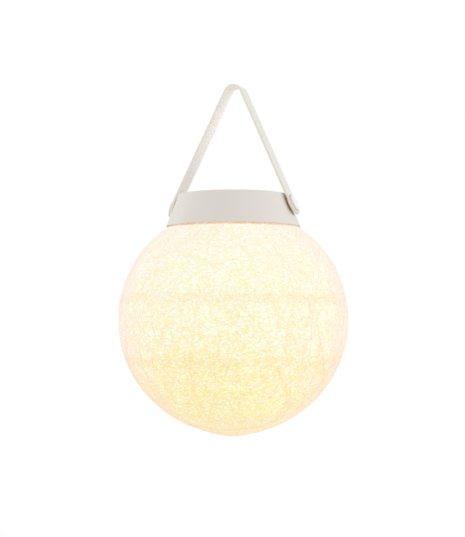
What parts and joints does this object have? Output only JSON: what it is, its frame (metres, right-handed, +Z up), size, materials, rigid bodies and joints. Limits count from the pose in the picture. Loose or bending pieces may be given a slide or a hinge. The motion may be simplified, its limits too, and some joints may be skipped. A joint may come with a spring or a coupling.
{
  "type": "cotton ball lamp",
  "caption": "Hanging garden lamp: a glowing ball wound from cotton thread under a round tapered cap with a snapped-on strap handle.",
  "frame": {"origin": "centre of the round bend at the top of the strap, where a hook or branch passes", "axes": "+Z up along the lamp's axis, X along the strap's plane through both snaps, Y along the width of the strap"},
  "size_m": [0.2492, 0.2492, 0.3819],
  "materials": {
    "strap": "smooth cream coated band, satin",
    "snap_button": "satin moulded button",
    "snap_metal": "plated steel, satin",
    "steel": "zinc plated steel",
    "cap": "warm off-white moulded plastic, fine satin",
    "seal": "soft black seal rubber",
    "panel_board": "dark laminate",
    "solar_cell": "dark blue silicon strips with fine grid lines",
    "clear_cover": "clear moulded cover, glossy",
    "button": "satin moulded plastic",
    "switch_plastic": "black plastic",
    "switch_metal": "bright stamped steel",
    "circuit": "green solder mask",
    "component": "black moulded packages",
    "holder": "black moulded plastic",
    "battery": "green shrink sleeve over the cell",
    "lead_red": "red insulation",
    "lead_white": "white insulation",
    "inner_plastic": "off-white moulded plastic",
    "light_board": "white solder mask",
    "chip": "yellow phosphor chips",
    "frosted": "frosted white diffuser, translucent",
    "cotton_shell": "thin stiffened cotton skin, translucent, lit warm from inside",
    "cotton_thread": "fine cotton thread, stiffened, matt"
  },
  "bodies": {
    "strap": {"handle_strap": "strap", "snap_button_left": "snap_button", "snap_button_right": "snap_button", "snap_socket_left": "snap_metal", "snap_socket_right": "snap_metal"},
    "cap": {"ball_stud_left": "snap_metal", "ball_stud_right": "snap_metal", "stud_washers": "steel", "stud_nuts": "steel", "cap_shell": "cap", "panel_seal": "seal", "solar_board": "panel_board", "solar_cells": "solar_cell", "panel_cover": "clear_cover", "tact_switch": "switch_metal", "circuit_board": "circuit", "board_components": "component", "battery_holder": "holder", "battery_cell": "battery", "battery_contacts": "steel", "solar_leads": "lead_red", "battery_leads": "lead_red", "light_leads": "lead_white", "base_plate": "inner_plastic", "base_seal": "seal", "base_screws": "steel", "small_screws": "steel", "neck_gasket": "seal", "light_board": "light_board", "light_chips": "chip", "diffuser": "frosted"},
    "power_button": {"power_button": "button", "button_seal": "seal", "switch_plunger": "switch_plastic"},
    "shade": {"neck_ring": "inner_plastic", "shade_crown": "cotton_shell", "shade_bowl": "cotton_shell", "shade_winding": "cotton_thread"}
  },
  "joints": [
    {"name": "strap_swing", "type": "hinge", "parent": "strap", "child": "cap", "pos_m": [0, 0, -0.1205], "axis": [1, 0, 0], "range_deg": [-35, 35]},
    {"name": "button_press", "type": "slide", "parent": "cap", "child": "power_button", "axis": [0, 0, -1], "range_m": [0, 0.0008], "stiffness_N_per_m": 1500, "springref_m": -0.0004},
    {"name": "shade_twist", "type": "hinge", "parent": "cap", "child": "shade", "pos_m": [0, 0, -0.1445], "axis": [0, 0, 1], "range_deg": [0, 26]}
  ]
}
